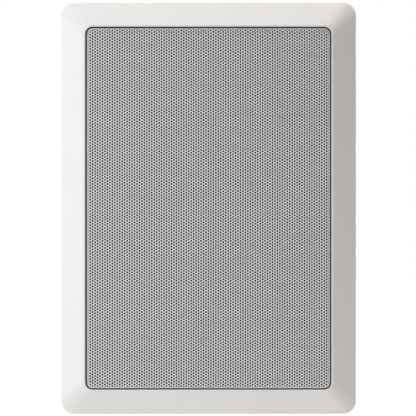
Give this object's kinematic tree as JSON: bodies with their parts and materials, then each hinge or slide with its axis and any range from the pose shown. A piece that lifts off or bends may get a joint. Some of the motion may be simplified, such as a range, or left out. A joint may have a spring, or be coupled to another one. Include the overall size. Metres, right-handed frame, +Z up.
{
  "type": "in-wall speaker",
  "caption": "Rectangular two-way in-wall loudspeaker with a sloping white bezel, flush perforated steel grille, rear swing-out clamps and spring terminals.",
  "frame": {"origin": "centre of the bezel's back, on the face of the wall", "axes": "+Z up, +X to the right seen from the room, +Y into the wall; the front faces -Y"},
  "size_m": [0.2186, 0.0862, 0.305],
  "materials": {
    "white_plastic": "fine satin moulding texture",
    "white_painted_steel": "satin powder coat",
    "black_cloth": "open plain weave",
    "black_painted_steel": "semi-gloss black paint",
    "black_rubber": "satin rubber",
    "black_cone": "filled polypropylene",
    "copper_winding": "varnished copper wire",
    "amber_cloth": "resin-stiffened weave",
    "brown_fibre": "pressed fibre board",
    "tinned_brass": "tinned",
    "zinc_steel": "zinc plated",
    "ferrite": "sintered and ground",
    "black_plastic": "fine texture",
    "silk": "coated silk",
    "green_board": "lacquered circuit board",
    "capacitor_sleeve": "shrunk sleeve",
    "capacitor_film": "wrapped film",
    "cement_ceramic": "cast cement",
    "red_plastic": "polished moulding",
    "spring_steel": "rolled strip",
    "lead_insulation": "soft insulation",
    "zinc_screw": "yellow zinc",
    "clamp_nylon": "glass-filled nylon"
  },
  "bodies": {
    "frame": {"frame": "white_plastic", "grille": "white_painted_steel", "grille_scrim": "black_cloth", "woofer_basket": "black_painted_steel", "woofer_surround": "black_rubber", "spider": "amber_cloth", "tag_strip": "brown_fibre", "solder_tags": "tinned_brass", "top_plate": "zinc_steel", "woofer_magnet": "ferrite", "yoke": "zinc_steel", "tweeter_faceplate": "black_plastic", "tweeter_dome": "silk", "tweeter_motor": "zinc_steel", "crossover_board": "green_board", "woofer_inductor": "copper_winding", "tweeter_choke": "copper_winding", "woofer_capacitor": "capacitor_sleeve", "tweeter_capacitor": "capacitor_film", "attenuator_resistor": "cement_ceramic", "terminal_block": "black_plastic", "terminal_clip_red": "spring_steel", "terminal_clip_black": "spring_steel", "woofer_lead": "lead_insulation", "tweeter_lead": "lead_insulation"},
    "cone": {"woofer_cone": "black_cone", "dust_cap": "black_cone", "voice_coil": "copper_winding"},
    "clamp_screw_upper_right": {"clamp_screw_upper_right": "zinc_screw"},
    "clamp_paddle_upper_right": {"clamp_paddle_upper_right": "clamp_nylon"},
    "clamp_screw_lower_right": {"clamp_screw_lower_right": "zinc_screw"},
    "clamp_paddle_lower_right": {"clamp_paddle_lower_right": "clamp_nylon"},
    "clamp_screw_lower_left": {"clamp_screw_lower_left": "zinc_screw"},
    "clamp_paddle_lower_left": {"clamp_paddle_lower_left": "clamp_nylon"},
    "clamp_screw_upper_left": {"clamp_screw_upper_left": "zinc_screw"},
    "clamp_paddle_upper_left": {"clamp_paddle_upper_left": "clamp_nylon"},
    "terminal_lever_red": {"terminal_lever_red": "red_plastic"},
    "terminal_lever_black": {"terminal_lever_black": "black_plastic"}
  },
  "joints": [
    {"name": "woofer_stroke", "type": "slide", "parent": "frame", "child": "cone", "axis": [0, 1, 0], "range_m": [-0.004, 0.004], "stiffness_N_per_m": 1100, "deforming": ["woofer_surround", "spider"]},
    {"name": "clamp_swing_upper_right", "type": "hinge", "parent": "frame", "child": "clamp_screw_upper_right", "pos_m": [0.078, 0, 0.097], "axis": [0, 1, 0], "range_deg": [0, 90]},
    {"name": "clamp_draw_upper_right", "type": "slide", "parent": "clamp_screw_upper_right", "child": "clamp_paddle_upper_right", "axis": [0, -1, 0], "range_m": [0, 0.0312]},
    {"name": "clamp_swing_lower_right", "type": "hinge", "parent": "frame", "child": "clamp_screw_lower_right", "pos_m": [0.078, 0, -0.097], "axis": [0, 1, 0], "range_deg": [0, 90]},
    {"name": "clamp_draw_lower_right", "type": "slide", "parent": "clamp_screw_lower_right", "child": "clamp_paddle_lower_right", "axis": [0, -1, 0], "range_m": [0, 0.0312]},
    {"name": "clamp_swing_lower_left", "type": "hinge", "parent": "frame", "child": "clamp_screw_lower_left", "pos_m": [-0.078, 0, -0.097], "axis": [0, 1, 0], "range_deg": [0, 90]},
    {"name": "clamp_draw_lower_left", "type": "slide", "parent": "clamp_screw_lower_left", "child": "clamp_paddle_lower_left", "axis": [0, -1, 0], "range_m": [0, 0.0312]},
    {"name": "clamp_swing_upper_left", "type": "hinge", "parent": "frame", "child": "clamp_screw_upper_left", "pos_m": [-0.078, 0, 0.097], "axis": [0, 1, 0], "range_deg": [0, 90]},
    {"name": "clamp_draw_upper_left", "type": "slide", "parent": "clamp_screw_upper_left", "child": "clamp_paddle_upper_left", "axis": [0, -1, 0], "range_m": [0, 0.0312]},
    {"name": "terminal_push_red", "type": "hinge", "parent": "frame", "child": "terminal_lever_red", "pos_m": [0.0452, 0.0277, 0.1163], "axis": [-1, 0, 0], "range_deg": [0, 12], "stiffness_Nm_per_rad": 0.3, "deforming": ["terminal_clip_red"]},
    {"name": "terminal_push_black", "type": "hinge", "parent": "frame", "child": "terminal_lever_black", "pos_m": [0.0598, 0.0277, 0.1163], "axis": [-1, 0, 0], "range_deg": [0, 12], "stiffness_Nm_per_rad": 0.3, "deforming": ["terminal_clip_black"]}
  ]
}
